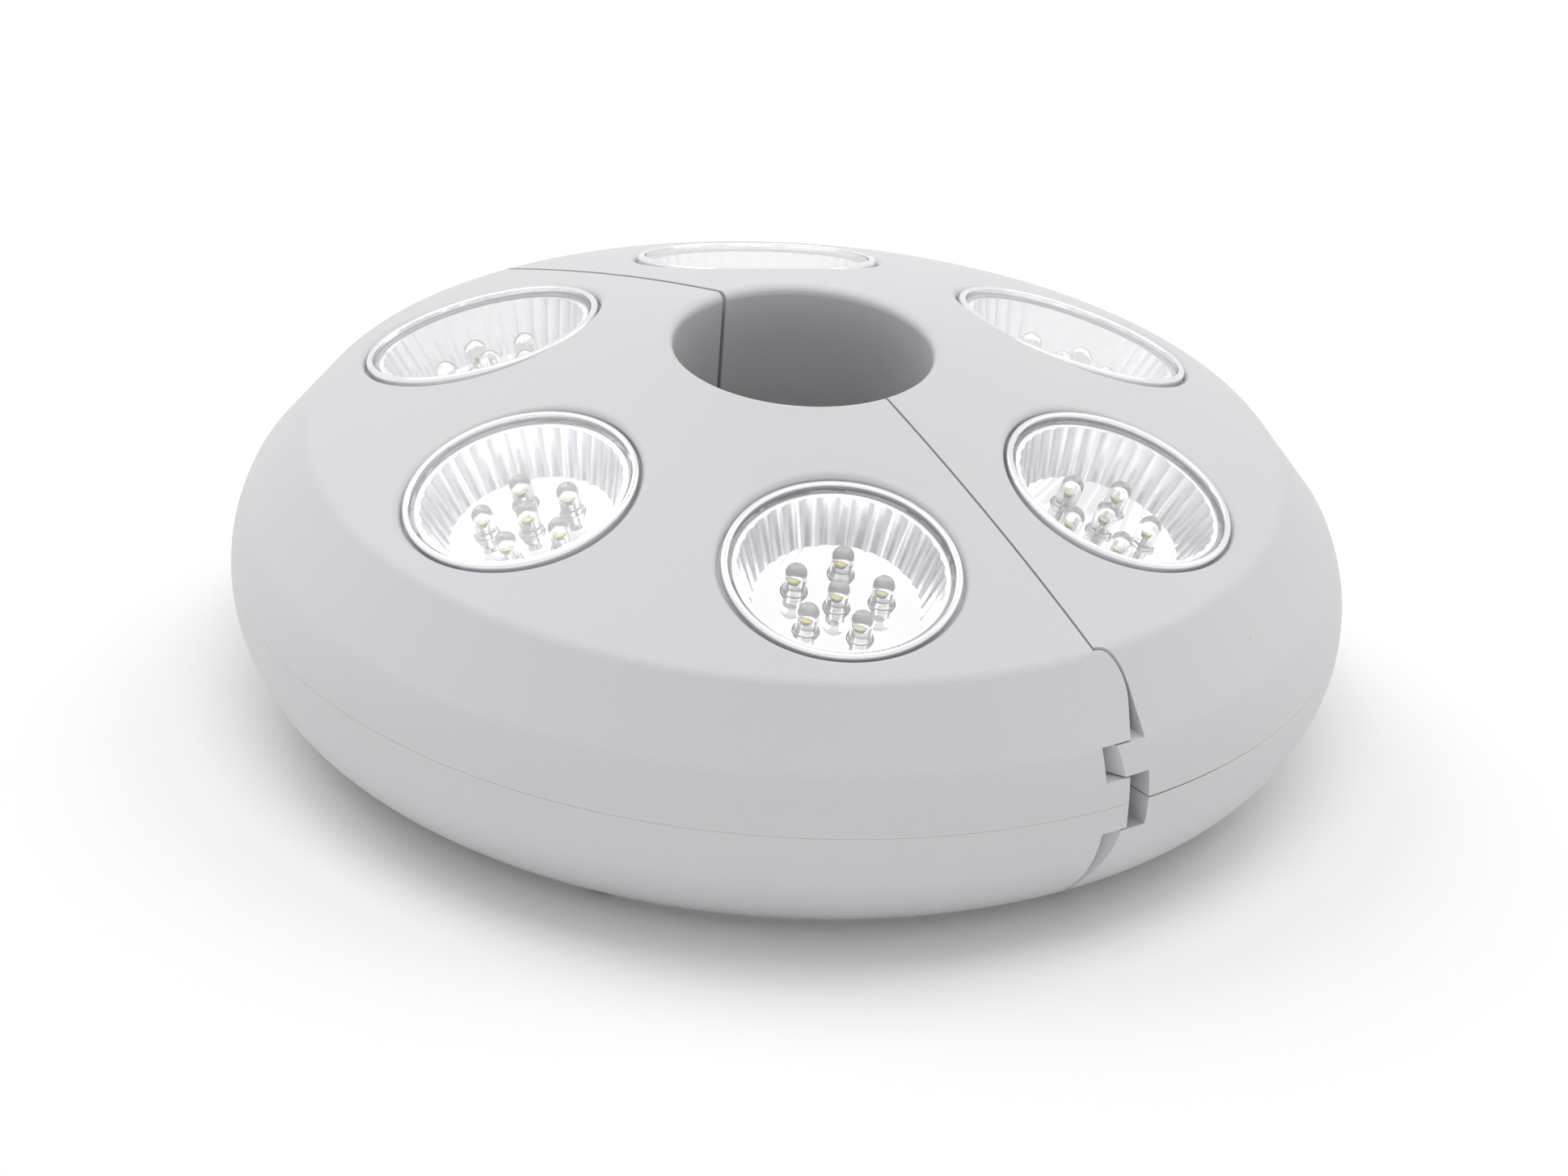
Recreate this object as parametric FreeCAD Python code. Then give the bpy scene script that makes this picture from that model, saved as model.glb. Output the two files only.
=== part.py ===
"""Cordless patio umbrella light that closes round the pole like a clam.

Frame: the pole runs along Z through the origin, the flat base lies on Z = 0 and the lamps look up.
The two halves meet on the plane X = 0. The hinge is at the -Y rim, the halves part at the +Y rim,
the left half lies at -X and the right half, which swings, at +X. All sizes are millimetres.
"""
import FreeCAD, Part
import math
import os
from FreeCAD import Placement, Rotation, Vector

LEFT, RIGHT = -1, 1
UP = Vector(0, 0, 1)
ORIGIN = Vector(0, 0, 0)

# Casing: a surface of revolution, drawn as one half profile
body_radius = 125.0        # at the parting line, the widest place
corner_radius = 33.0       # round from the flat base up past the parting line
shoulder_turn = 24.53      # degrees that the round goes on above the parting line
shoulder_run = 12.3        # of the cone between that round and the dome, inwards
shoulder_rise = 17.1
dome_rise = 28.6           # from the crease up to the bore wall, before its lip is rounded
dome_bow = 1.4             # how far the dome's profile bows out of a straight line
bore_radius = 29.2
lip_round = 1.8
crease_round = 4.0
shoulder_round = 6.0
wall = 2.5
half_gap = 0.6             # seam between the two halves, on the hinge's side of the pole
latch_gap = 1.0            # and on the other side, where they part
groove_size = 0.12         # V groove along the parting line of upper and lower shell
parting_gap = 0.4          # where the right half's shells stand apart at the hinge
parting_gap_run = 46.0     # from the seam to where they meet

# Hinge: four knuckles on the rim, by turns left, right, left, right from the top
pin_inset = 10.5           # hinge axis from the rim
pin_radius = 1.5
pin_in_lowest = 8.3        # of the pin's length, in the lowest knuckle
pin_in_highest = 5.8
pin_clearance = 0.05
pin_chamfer = 0.3
knuckle_radius = 5.2
knuckle_clearance = 0.75   # round a knuckle, to the pocket that it turns in
knuckle_gap = 0.4          # between the faces of two knuckles
open_angle = 28.0          # how far the halves swing apart; the knuckles' flanks lie at this angle
second_knuckle = 7.4       # height of the second knuckle, which ends at the shoulder
third_knuckle = 13.0
hinge_block_width = 13.0
hinge_block_depth = 22.0

# Lamps
lamps_per_half = 3
lamp_pitch = 60.0          # degrees round the pole
lamp_inset = 32.3          # lamp centres from the crease, towards the pole
lamp_sink = 0.3            # bezel's plane below the straight line from bore to crease
bezel_outer = 27.0
bezel_inner = 25.4
bezel_crown = 0.8          # above the bezel's plane
bezel_outer_round = 0.9    # width of the crown's outer slope
bezel_inner_round = 0.5
bezel_slack = 0.5          # dark gap round the bezel
pocket_round = 1.6         # soft edge of the dome round a lamp
pocket_wall = 2.0
ledge_thickness = 2.0
flange_depth = 0.9         # reflector flange below the bezel's plane
flange_thickness = 1.0
lens_thickness = 1.0
lens_lift = 0.3            # room for a seal between the lens and the reflector's flange
lens_slack = 0.2
mouth_radius = 22.9
floor_radius = 18.7
floor_depth = 12.0
reflector_wall = 1.2
flute_count = 33
flute_depth = 0.4
skirt_height = 1.5
skirt_wall = 1.5
cup_slack = 0.4            # cup in the ledge's opening
stake_radius = 1.2         # heat stakes that hold the LED board
stake_circle = 16.2
stake_end = 1.0            # beyond the board
stake_slack = 0.1

# LEDs, 5 mm round
led_radius = 2.5
led_flange_radius = 2.95
led_flange_height = 1.0
led_height = 8.6
led_sink = 0.4             # foot of the LED below the mirror floor
led_hole_slack = 0.15
led_circle = 10.3
led_ring_count = 5
led_first_angle = 79.0     # of one ring LED, in the lamp's own frame
leg_size = 0.5
leg_pitch = 2.54
board_thickness = 1.6
led_board_radius = 20.4

# Power: four AA cells, two in each half
cell_radius = 7.25
cell_length = 49.5
nipple_radius = 2.75
nipple_length = 1.0
cell_round = 0.6
cell_spacing = 15.3
cells_from_pole = 61.5     # middle of the pair from the pole axis
tray_wall = 1.5
tray_slack = 0.45          # beside and above the cells
contact_thickness = 0.5
contact_width = 10.0
contact_height = 12.0
spring_length = 3.0
spring_foot = 3.6
spring_tip = 2.4
door_thickness = 1.5
door_recess = 0.1          # the door's face above the base plane
door_lap = 2.5             # the door laps the tray's opening by this on each side
door_slack = 0.3
door_grip_radius = 7.0     # thumb hollow in the door
door_grip_depth = 0.7
door_ridge_width = 0.8     # of the ridges in the thumb hollow
door_ridge_pitch = 2.0
door_ridge_drop = 0.2      # below the door's face

# Driver and switch, behind the rim near the parting edge of the left half
driver_azimuth = 160.0
driver_inset = 20.0        # middle of the board from the rim
driver_width = 36.0
driver_low = 10.0
driver_high = 50.0
driver_slot_slack = 0.15
driver_post_width = 6.0
driver_post_depth = 8.0
driver_post_wall = 1.0     # beside the board's edge
driver_post_top = 24.0
button_height = 40.0
button_radius = 4.5
button_slack = 0.3
button_proud = 1.0
button_crown = 0.6
button_flange = 1.4        # wider than the button's hole, and as thick
button_travel = 1.2
guide_length = 6.0         # of the guide that the flange stops on
guide_wall = 2.0
switch_size = 8.0
switch_depth = 3.5
plunger_radius = 1.6
plunger_slack = 0.1
plunger_length = 4.0
capacitor_radius = 4.0
capacitor_length = 9.0
chip_size = 6.0
chip_height = 1.6

# Screws that join the upper and the lower shell
screw_radius = 1.5
screw_head_radius = 2.9
screw_head_height = 2.2
screw_cross_size = 3.5     # cross recess in the head
screw_cross_width = 0.9
screw_cross_depth = 1.1
screw_length = 16.0
screw_grip = 9.0           # of the lower shell's post, from the head up to the parting line
screw_slack = 0.15
post_radius = 4.4
post_gap = 0.5             # from the inner posts to the nearest lamp's pocket
inner_post_azimuth = 10.0  # from the hinge, and as much from the far end of the seam
outer_post_inset = 27.0    # middle of the outer posts from the rim

# Closing magnets and locating pegs on the seam, away from the hinge
magnet_radius = 4.0
magnet_thickness = 4.5
magnet_recess = 0.2
magnet_slack = 0.05
magnet_boss_wall = 1.6
magnet_inset = 25.0        # middle of the magnets from the rim
peg_spacing = 16.0         # from the magnets to the pegs
peg_radius = 2.5
peg_slack = 0.4
peg_length = 5.0
seam_fitting_drop = 15.0   # lower magnet and peg below the parting line
seam_fitting_rise = 12.0   # upper magnet and peg above it

# Rubber grips for the pole
pole_radius = 25.4         # a 2 inch pole
grip_low = 6.0
grip_high = 56.0
grip_end_angle = 12.0      # left bare beside the seam

# Wiring
lead_radius = 1.1
lead_offset = 10.6         # of the leads' circle from the lamps' circle
lead_gap = 0.2             # under the LED boards
lead_seam_azimuth = 8.0
lead_tap_angle = 8.0       # from the driver's middle to the drop of the left arc to its board
solder_inset = 3.3         # leads meet the driver board this far from its edges
lead_hole_slack = 0.4
lead_end_gap = 0.8         # slanting end of a lead from the piece it is soldered to
lead_swing_radius = 4.6    # hole in the right half, which leaves the lead room as it swings

# Places that follow from these sizes
shoulder_height = corner_radius * (1 + math.sin(math.radians(shoulder_turn)))
shoulder_radius = body_radius - corner_radius * (1 - math.cos(math.radians(shoulder_turn)))
crease_radius = shoulder_radius - shoulder_run
crease_height = shoulder_height + shoulder_rise
dome_height = crease_height + dome_rise
dome_slope = dome_rise / (crease_radius - bore_radius)
lamp_circle = crease_radius - lamp_inset
lamp_height = crease_height + lamp_inset * dome_slope - lamp_sink
lamp_tilt = math.degrees(math.atan(dome_slope))
pin_reach = body_radius - pin_inset
tab_bottom = shoulder_height - second_knuckle
lip_top = tab_bottom - third_knuckle
pin_top = shoulder_height + pin_in_highest
pin_bottom = lip_top - pin_in_lowest
driver_reach = body_radius - driver_inset
screw_seat = corner_radius - screw_grip
outer_post_circle = body_radius - outer_post_inset
magnet_reach = body_radius - magnet_inset
peg_reach = magnet_reach - peg_spacing
seam_fitting_heights = (corner_radius - seam_fitting_drop, corner_radius + seam_fitting_rise)
lead_circle = lamp_circle + lead_offset

far = 2 * body_radius      # larger than the whole light
nip = 0.01                 # overlap that makes two joined solids one
tolerance = 0.05           # for finding an edge by its place


def at_azimuth(azimuth, reach, height):
    """A point at an angle round the pole, counted from -Y towards +X."""
    angle = math.radians(azimuth)
    return Vector(reach * math.sin(angle), -reach * math.cos(angle), height)


def box(low, high):
    return Part.makeBox(*(high - low), low)


def side_box(side, inset):
    """All that lies on one side of the seam plane, at least inset away from it."""
    low_x = inset if side == RIGHT else -far
    return Part.makeBox(far - inset, 2 * far, 2 * far, Vector(low_x, -far, -far))


def layer(low, high):
    return Part.makeBox(2 * far, 2 * far, high - low, Vector(-far, -far, low))


def turned(outline):
    """Solid of revolution about Z from points and (middle, end) arcs in the XZ plane."""
    edges = []
    start = outline[0]
    for step in outline[1:] + [outline[0]]:
        if len(step) == 2 and isinstance(step[0], tuple):
            middle, end = step
            points = [Vector(x, 0, z) for x, z in (start, middle, end)]
            edges.append(Part.Arc(*points).toShape())
        else:
            end = step
            edges.append(Part.makeLine(Vector(start[0], 0, start[1]), Vector(end[0], 0, end[1])))
        start = end
    return Part.Face(Part.Wire(edges)).revolve(ORIGIN, UP, 360)


def quarter(centre, start, end):
    """A (middle, end) step for turned: a quarter turn round a centre from start to end."""
    share = math.sqrt(0.5)
    middle = tuple(c + share * (s - c + e - c) for c, s, e in zip(centre, start, end))
    return middle, end


def tube_between(start, end, radius):
    run = end - start
    return Part.makeCylinder(radius, run.Length, start, run)


def rim_radius(height):
    """Radius of the rounded rim at a height below the shoulder."""
    rise = height - corner_radius
    return body_radius - corner_radius + math.sqrt(corner_radius ** 2 - rise ** 2)


def casing_profile():
    """Closed face of the casing's section, from the bore wall out to the rim."""
    bore_foot = Vector(bore_radius, 0, 0)
    bore_head = Vector(bore_radius, 0, dome_height)
    crease = Vector(crease_radius, 0, crease_height)
    shoulder = Vector(shoulder_radius, 0, shoulder_height)
    belt = Vector(body_radius, 0, corner_radius)
    foot = Vector(body_radius - corner_radius, 0, 0)
    slope = (crease - bore_head).normalize()
    dome_middle = (bore_head + crease) * 0.5 + Vector(-slope.z, 0, slope.x) * dome_bow
    edges = [
        Part.makeLine(bore_foot, bore_head),
        Part.Arc(bore_head, dome_middle, crease).toShape(),
        Part.makeLine(crease, shoulder),
        Part.Arc(shoulder, belt, foot).toShape(),
        Part.makeLine(foot, bore_foot),
    ]
    return Part.Face(Part.Wire(edges))


def cavity_profile():
    """The casing's section, a wall smaller all round, with its lines and arcs drawn afresh."""
    edges = []
    for edge in Part.__sortEdges__(casing_profile().makeOffset2D(-wall, 2).Edges):
        first, last = edge.ParameterRange
        start, middle, end = [edge.valueAt(along) for along in (first, (first + last) / 2, last)]
        if isinstance(edge.Curve, Part.Circle):
            edges.append(Part.Arc(start, middle, end).toShape())
        else:
            edges.append(Part.makeLine(start, end))
    return Part.Face(Part.Wire(Part.__sortEdges__(edges)))


def ring_edges(solid, radius, height):
    """The round edges of a solid at one radius and height."""
    found = []
    for edge in solid.Edges:
        if not isinstance(edge.Curve, Part.Circle):
            continue
        same_radius = abs(edge.Curve.Radius - radius) < tolerance
        if same_radius and abs(edge.Curve.Center.z - height) < tolerance:
            found.append(edge)
    return found


def casing_envelope():
    """The outside of the whole light as one solid, with its edges rounded."""
    solid = casing_profile().revolve(ORIGIN, UP, 360)
    roundings = (
        (bore_radius, dome_height, lip_round),
        (crease_radius, crease_height, crease_round),
        (shoulder_radius, shoulder_height, shoulder_round),
    )
    for radius, height, rounding in roundings:
        solid = solid.makeFillet(rounding, ring_edges(solid, radius, height))
    return solid


def lamp_azimuths(side):
    return [side * lamp_pitch * (index + 0.5) for index in range(lamps_per_half)]


def lamp_placement(azimuth):
    """Lamp frame: Z out of the lamp, Y uphill towards the pole, origin on the bezel's plane."""
    turn = Rotation(UP, azimuth).multiply(Rotation(Vector(1, 0, 0), lamp_tilt))
    return Placement(at_azimuth(azimuth, lamp_circle, lamp_height), turn)


def placed(shape, placement):
    moved = shape.copy()
    moved.Placement = placement.multiply(moved.Placement)
    return moved


def local_cylinder(radius, low, high):
    return Part.makeCylinder(radius, high - low, Vector(0, 0, low))


def pocket_block():
    """Tube and ledge under the dome that take one lamp, not yet hollow."""
    ledge_foot = -(flange_depth + flange_thickness + ledge_thickness)
    return local_cylinder(bezel_outer + bezel_slack + pocket_wall, ledge_foot, far)


def pocket_hollow():
    seat = -(flange_depth + flange_thickness)
    bezel_room = local_cylinder(bezel_outer + bezel_slack, seat, far)
    cup_room = local_cylinder(cup_outer_radius(seat) + cup_slack, -far, seat + nip)
    return bezel_room.fuse(cup_room.common(local_cylinder(far, seat - 2 * ledge_thickness, seat + nip)))


def bowl_radius(height):
    """Radius of the reflector's mirror cone at a height in the lamp frame."""
    down = (-flange_depth - height) / (floor_depth - flange_depth)
    return mouth_radius + (floor_radius - mouth_radius) * down


def cup_outer_radius(height):
    return bowl_radius(height) + reflector_wall


# Hinge ------------------------------------------------------------------------------------------

def hinge_levels(side):
    """Height ranges of the knuckles that one half carries."""
    if side == LEFT:
        return [(shoulder_height, dome_height), (lip_top, tab_bottom)]
    return [(tab_bottom, shoulder_height), (-wall, lip_top)]


def knuckle(side, low, high):
    """Knuckle of one half: round the pin, with a flank that runs out to the rim at the seam."""
    across = -side
    flank = math.radians(open_angle)
    low = low + knuckle_gap / 2
    height = high - knuckle_gap / 2 - low
    axis_point = Vector(0, -pin_reach, low)
    tangent = axis_point + Vector(across * math.cos(flank), -math.sin(flank), 0) * knuckle_radius
    tip = axis_point - Vector(0, knuckle_radius / math.sin(flank), 0)
    inner = axis_point - Vector(across * half_gap, 0, 0)
    outer = tip - Vector(across * half_gap, 0, 0)
    flank_face = Part.Face(Part.makePolygon([inner, axis_point, tangent, tip, outer, inner]))
    drum = Part.makeCylinder(knuckle_radius, height, axis_point)
    return drum.fuse(flank_face.extrude(Vector(0, 0, height)))


def knuckle_pocket(side, low, high):
    """Room in one half for a knuckle of the other half."""
    radius = knuckle_radius + knuckle_clearance
    low = low - knuckle_gap / 2
    height = high + knuckle_gap / 2 - low
    drum = Part.makeCylinder(radius, height, Vector(0, -pin_reach, low))
    low_x = min(0, side * radius)
    mouth = Part.makeBox(radius, far - pin_reach, height, Vector(low_x, -far, low))
    return drum.fuse(mouth)


def hinge_block(side, envelope):
    """Solid corner of a half that its knuckles grow from."""
    low_x = half_gap / 2 if side == RIGHT else -hinge_block_width
    width = hinge_block_width - half_gap / 2
    corner = Part.makeBox(width, hinge_block_depth, far, Vector(low_x, -body_radius - nip, -nip))
    return corner.common(envelope)


def with_hinge(solid, side, envelope):
    solid = solid.fuse(hinge_block(side, envelope))
    for low, high in hinge_levels(-side):
        solid = solid.cut(knuckle_pocket(side, low, high))
    for low, high in hinge_levels(side):
        solid = solid.fuse(knuckle(side, low, high).common(envelope))
    hole_low = pin_bottom - pin_clearance
    hole_height = pin_top + pin_clearance - hole_low
    hole = Part.makeCylinder(pin_radius + pin_clearance, hole_height, Vector(0, -pin_reach, hole_low))
    return solid.cut(hole)


def hinge_pin():
    pin = Part.makeCylinder(pin_radius, pin_top - pin_bottom, Vector(0, -pin_reach, pin_bottom))
    return pin.makeChamfer(pin_chamfer, [edge for edge in pin.Edges if isinstance(edge.Curve, Part.Circle)])


# What the casing carries inside ------------------------------------------------------------------

def inner_post_circle():
    """Where posts beside the bore just clear the pocket of the nearest lamp."""
    apart = math.radians(lamp_pitch / 2 - inner_post_azimuth)
    clear = bezel_outer + bezel_slack + pocket_wall + post_gap + post_radius
    return lamp_circle * math.cos(apart) - math.sqrt(clear ** 2 - (lamp_circle * math.sin(apart)) ** 2)


def post_points(side):
    """Foot of each post: two beside the bore, and two near the rim between the lamps."""
    places = [(inner_post_azimuth, inner_post_circle()), (180 - inner_post_azimuth, inner_post_circle())]
    places += [(lamp_pitch * (index + 1), outer_post_circle) for index in range(lamps_per_half - 1)]
    return [at_azimuth(side * azimuth, circle, 0) for azimuth, circle in places]


def screw_posts(side, envelope):
    posts = [Part.makeCylinder(post_radius, dome_height, point) for point in post_points(side)]
    return Part.makeCompound(posts).common(envelope)


def screw_hollow(point):
    """Head well from below, through hole, and thread hole in the upper post."""
    well = Part.makeCylinder(screw_head_radius + screw_slack, screw_seat + far, point - UP * far)
    shank_top = screw_seat + screw_length
    clear = Part.makeCylinder(screw_radius + screw_slack, corner_radius, point)
    thread = Part.makeCylinder(screw_radius, shank_top + screw_slack, point)
    return well.fuse([clear, thread])


def screw(point):
    """Pan head screw that points up, with a cross recess in the underside of its head."""
    foot = point + UP * (screw_seat - screw_head_height)
    head = Part.makeCylinder(screw_head_radius, screw_head_height, foot)
    shank = Part.makeCylinder(screw_radius, screw_length + nip, point + UP * (screw_seat - nip))
    cross = []
    for size_x, size_y in ((screw_cross_size, screw_cross_width), (screw_cross_width, screw_cross_size)):
        corner = foot - Vector(size_x / 2, size_y / 2, 0)
        cross.append(Part.makeBox(size_x, size_y, screw_cross_depth, corner))
    return head.fuse(shank).cut(cross)


def seam_cylinder(side, reach, height, radius, start, end):
    """A cylinder square to the seam plane, from start to end away from it on one side."""
    base = Vector(side * start, reach, height)
    return Part.makeCylinder(radius, end - start, base, Vector(side, 0, 0))


def magnet_start():
    return latch_gap / 2 + magnet_recess


def seam_bosses(side, envelope):
    """Cups for the magnets behind the seam wall."""
    end = magnet_start() + magnet_thickness + magnet_boss_wall
    radius = magnet_radius + magnet_slack + magnet_boss_wall
    start = latch_gap / 2
    cups = [seam_cylinder(side, magnet_reach, height, radius, start, end) for height in seam_fitting_heights]
    return Part.makeCompound(cups).common(envelope)


def magnet(side, height):
    start = magnet_start()
    return seam_cylinder(side, magnet_reach, height, magnet_radius, start, start + magnet_thickness)


def magnet_hollow(side, height):
    end = magnet_start() + magnet_thickness
    return seam_cylinder(side, magnet_reach, height, magnet_radius + magnet_slack, 0, end)


def locating_peg(height):
    """Peg of the right half that enters the left half's seam wall."""
    shank = seam_cylinder(LEFT, peg_reach, height, peg_radius, -(latch_gap / 2 + wall / 2), peg_length)
    tip = [edge for edge in shank.Edges if abs(edge.CenterOfMass.x + peg_length) < nip]
    return shank.makeChamfer(peg_radius / 3, tip)


def peg_socket(height):
    return seam_cylinder(LEFT, peg_reach, height, peg_radius + peg_slack, 0, latch_gap / 2 + wall + nip)


# Battery bay: the tray's inside is the size of its cells, and the door covers it from below

def bay_size():
    """Inside of the tray across, along and up."""
    across = cell_spacing + 2 * (cell_radius + tray_slack)
    along = cell_length + nipple_length + spring_length + 2 * contact_thickness
    up = cell_axis_height() + cell_radius + tray_slack - wall
    return across, along, up


def cell_axis_height():
    return door_recess + door_thickness + tray_slack + cell_radius


def bay_box(side, margin, low, high):
    """A box over the battery bay's outline, grown by margin."""
    across, along, _ = bay_size()
    middle = Vector(side * cells_from_pole, 0, low)
    half = Vector(across / 2 + margin, along / 2 + margin, 0)
    return box(middle - half, middle + half + UP * (high - low))


def battery_tray(side):
    top = wall + bay_size()[2]
    outside = bay_box(side, tray_wall, wall, top + tray_wall)
    return outside.cut(bay_box(side, 0, wall - nip, top))


def door_grip(side):
    """Half-round thumb hollow in the door, less the ridges that stand in it."""
    start = bay_size()[1] / 2 - door_grip_radius
    depth = door_recess + door_grip_depth
    disc = Part.makeCylinder(door_grip_radius, depth, Vector(side * cells_from_pole, start, 0))
    hollow = disc.common(Part.makeBox(far, far, far, Vector(-far / 2, start, 0)))
    ridges = []
    for index in range(int(door_grip_radius / door_ridge_pitch)):
        low = Vector(-far / 2, start + door_ridge_pitch * (index + 0.5), door_recess + door_ridge_drop)
        ridges.append(Part.makeBox(far, door_ridge_width, far, low))
    return hollow.cut(ridges)


def battery_door(side):
    plate = bay_box(side, door_lap - door_slack, door_recess, door_recess + door_thickness)
    return plate.cut(door_grip(side))


def cell_middle(side, index):
    across = (index - 0.5) * cell_spacing
    return Vector(side * cells_from_pole + across, 0, cell_axis_height())


def cell_ends(index):
    """Y of a cell's flat end and of its nipple's end: the two cells lie head to tail."""
    way = 1 if index == 0 else -1
    inside = bay_size()[1] / 2 - contact_thickness
    return way, -way * (inside - spring_length), way * inside


def battery_cell(side, index):
    way, flat_end, nipple_end = cell_ends(index)
    middle = cell_middle(side, index)
    along = Vector(0, way, 0)
    can = Part.makeCylinder(cell_radius, cell_length, middle + Vector(0, flat_end, 0), along)
    can = can.makeFillet(cell_round, [edge for edge in can.Edges if isinstance(edge.Curve, Part.Circle)])
    base = middle + Vector(0, nipple_end - way * (nipple_length + nip), 0)
    return can.fuse(Part.makeCylinder(nipple_radius, nipple_length + nip, base, along))


def battery_contacts(side):
    """A plate at both ends of each cell, and a conical spring on the plate at its flat end."""
    solids = []
    half_along = bay_size()[1] / 2
    for index in (0, 1):
        way, flat_end, _ = cell_ends(index)
        middle = cell_middle(side, index)
        size = Vector(contact_width, contact_thickness, contact_height)
        for end in (1, -1):
            centre = middle + Vector(0, end * (half_along - contact_thickness / 2), 0)
            plate = box(centre - size * 0.5, centre + size * 0.5)
            if end == -way:
                foot = middle + Vector(0, end * (half_along - contact_thickness + nip), 0)
                inwards = Vector(0, way, 0)
                spring = Part.makeCone(spring_foot, spring_tip, spring_length + nip, foot, inwards)
                plate = plate.fuse(spring)
            solids.append(plate)
    return solids


# Driver board, switch and button ------------------------------------------------------------------

def rim_frame(azimuth, reach, height):
    """A frame at the rim: X outwards from the pole, Z up."""
    turn = Rotation(UP, azimuth - 90)
    return Placement(at_azimuth(azimuth, reach, height), turn)


def driver_frame():
    return rim_frame(LEFT * driver_azimuth, 0, 0)


def driver_posts(envelope):
    """Two slotted posts on the base that hold the driver board by its lower corners."""
    posts = []
    for hand in (-1, 1):
        middle = Vector(driver_reach, hand * (driver_width / 2 - driver_post_width / 2), 0)
        half = Vector(driver_post_depth / 2, driver_post_width / 2 + driver_post_wall, 0)
        post = box(middle - half, middle + half + UP * driver_post_top)
        slot_half = board_thickness / 2 + driver_slot_slack
        slot_low = Vector(driver_reach - slot_half, -driver_width / 2 - driver_slot_slack, driver_low)
        slot_high = Vector(driver_reach + slot_half, driver_width / 2 + driver_slot_slack, far)
        posts.append(post.cut(box(slot_low, slot_high)))
    return placed(Part.makeCompound(posts), driver_frame()).common(envelope)


def driver_board():
    half = Vector(board_thickness / 2, driver_width / 2, 0)
    middle = Vector(driver_reach, 0, driver_low)
    plate = box(middle - half, middle + half + UP * (driver_high - driver_low))
    return placed(plate, driver_frame())


def driver_components():
    """Capacitor and chips on the inner face of the driver board."""
    face = driver_reach - board_thickness / 2
    aside = driver_width / 5
    inwards = Vector(-1, 0, 0)
    middle = (driver_low + driver_high) / 2
    capacitor = Part.makeCylinder(capacitor_radius, capacitor_length, Vector(face, aside, middle), inwards)
    chips = []
    for row in (-1, 1):
        corner = Vector(face - chip_height, -aside - chip_size / 2, middle + row * chip_size - chip_size / 2)
        chips.append(Part.makeBox(chip_height, chip_size, chip_size, corner))
    return [placed(solid, driver_frame()) for solid in [capacitor] + chips]


def button_cylinder(radius, start, end):
    """A cylinder on the button's axis, from one distance from the pole to another."""
    solid = Part.makeCylinder(radius, end - start, Vector(start, 0, button_height), Vector(1, 0, 0))
    return placed(solid, driver_frame())


def switch_face():
    return driver_reach + board_thickness / 2 + switch_depth


def push_switch():
    half = switch_size / 2
    foot = driver_reach + board_thickness / 2
    body = Part.makeBox(switch_depth, switch_size, switch_size, Vector(foot, -half, button_height - half))
    plunger_room = button_cylinder(plunger_radius + plunger_slack, foot, switch_face() + nip)
    return placed(body, driver_frame()).cut(plunger_room)


def plunger_start():
    """Inner end of the plunger, which leaves room for the button's travel."""
    return driver_reach + board_thickness / 2 + button_travel + plunger_slack


def switch_plunger():
    return button_cylinder(plunger_radius, plunger_start(), plunger_start() + plunger_length)


def button_seat_reach():
    """Inner end of the guide, where the button's flange stops."""
    return rim_radius(button_height) - guide_length


def button_outer_reach():
    return rim_radius(button_height) + button_proud


def power_button():
    """Round button with a crowned face, a flange that keeps it in, and a stem to the plunger."""
    crown_foot = button_outer_reach() - button_crown
    shank = button_cylinder(button_radius, button_seat_reach() - nip, crown_foot)
    crown = turned([
        (0, crown_foot - nip),
        (button_radius, crown_foot - nip),
        (button_radius, crown_foot),
        quarter((0, crown_foot), (button_radius, crown_foot), (0, crown_foot + button_crown)),
    ])
    along_x = Placement(Vector(0, 0, button_height), Rotation(Vector(0, 1, 0), 90))
    crown = placed(placed(crown, along_x), driver_frame())
    flange_foot = button_seat_reach() - button_flange
    flange = button_cylinder(button_radius + button_slack + button_flange, flange_foot, button_seat_reach())
    stem = button_cylinder(button_radius / 2, plunger_start() + plunger_length, flange_foot + nip)
    return shank.fuse([crown, flange, stem])


def button_guide(envelope):
    guide = button_cylinder(button_radius + button_slack + guide_wall, button_seat_reach(), body_radius)
    return guide.common(envelope)


def button_hole():
    return button_cylinder(button_radius + button_slack, button_seat_reach() - nip, far)


# Wiring -------------------------------------------------------------------------------------------

def lead_height():
    """Height of the leads' circle: they run just below the LED boards."""
    drop = (board_thickness - board_top()) / math.cos(math.radians(lamp_tilt))
    return lamp_height - drop - lead_offset * dome_slope - lead_gap - lead_radius


def lead_arc(side):
    """Lead that runs under the LED boards of one half, on a circle round the pole."""
    first = lead_seam_azimuth
    last = driver_azimuth if side == LEFT else lamp_pitch * (lamps_per_half - 0.5)
    start = first if side == RIGHT else -last
    arc = Part.makeTorus(lead_circle, lead_radius, UP * lead_height(), UP, 0, 360, last - first)
    arc.rotate(ORIGIN, UP, start - 90)
    return arc


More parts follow.
